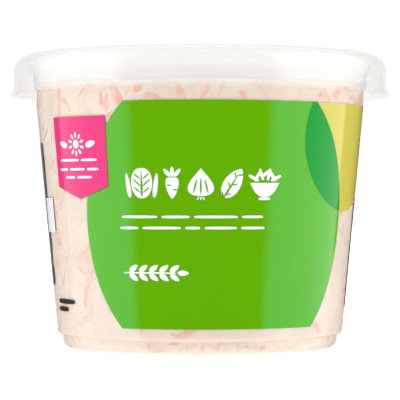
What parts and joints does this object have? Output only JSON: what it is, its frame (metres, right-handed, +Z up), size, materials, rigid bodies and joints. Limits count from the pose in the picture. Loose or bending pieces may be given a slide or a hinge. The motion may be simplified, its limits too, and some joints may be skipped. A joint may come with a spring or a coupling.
{
  "type": "lidded tub of coleslaw",
  "caption": "Round tapered clear tub of creamy shredded coleslaw, with a printed label and a translucent snap lid with a flared skirt.",
  "frame": {"origin": "centre of the flat base that the tub stands on", "axes": "+Z up along the tub's axis, -Y towards the front of the label, +X to the right as seen from the front"},
  "size_m": [0.121, 0.121, 0.0923],
  "materials": {
    "tub_plastic": "thin clear polypropylene with a faint milky haze and a soft gloss",
    "lid_plastic": "natural translucent white polypropylene, satin",
    "coleslaw": "shredded white cabbage, carrot and onion bound in a cream dressing, wet sheen",
    "print_green": "opaque fresh green print moulded into the wall, soft gloss",
    "print_dark_green": "opaque darker green print where the two discs cross, soft gloss",
    "print_yellow": "opaque soft yellow print, soft gloss",
    "print_pink": "opaque bright pink print, soft gloss",
    "print_charcoal": "opaque charcoal print of the two information panels, soft gloss",
    "print_white": "opaque white print, soft gloss"
  },
  "bodies": {
    "root": {"tub": "tub_plastic", "lid": "lid_plastic", "coleslaw": "coleslaw", "label_green": "print_green", "label_lens": "print_dark_green", "label_yellow": "print_yellow", "label_flag": "print_pink", "label_panel": "print_charcoal", "label_table": "print_charcoal", "label_tab": "print_white"}
  },
  "joints": []
}
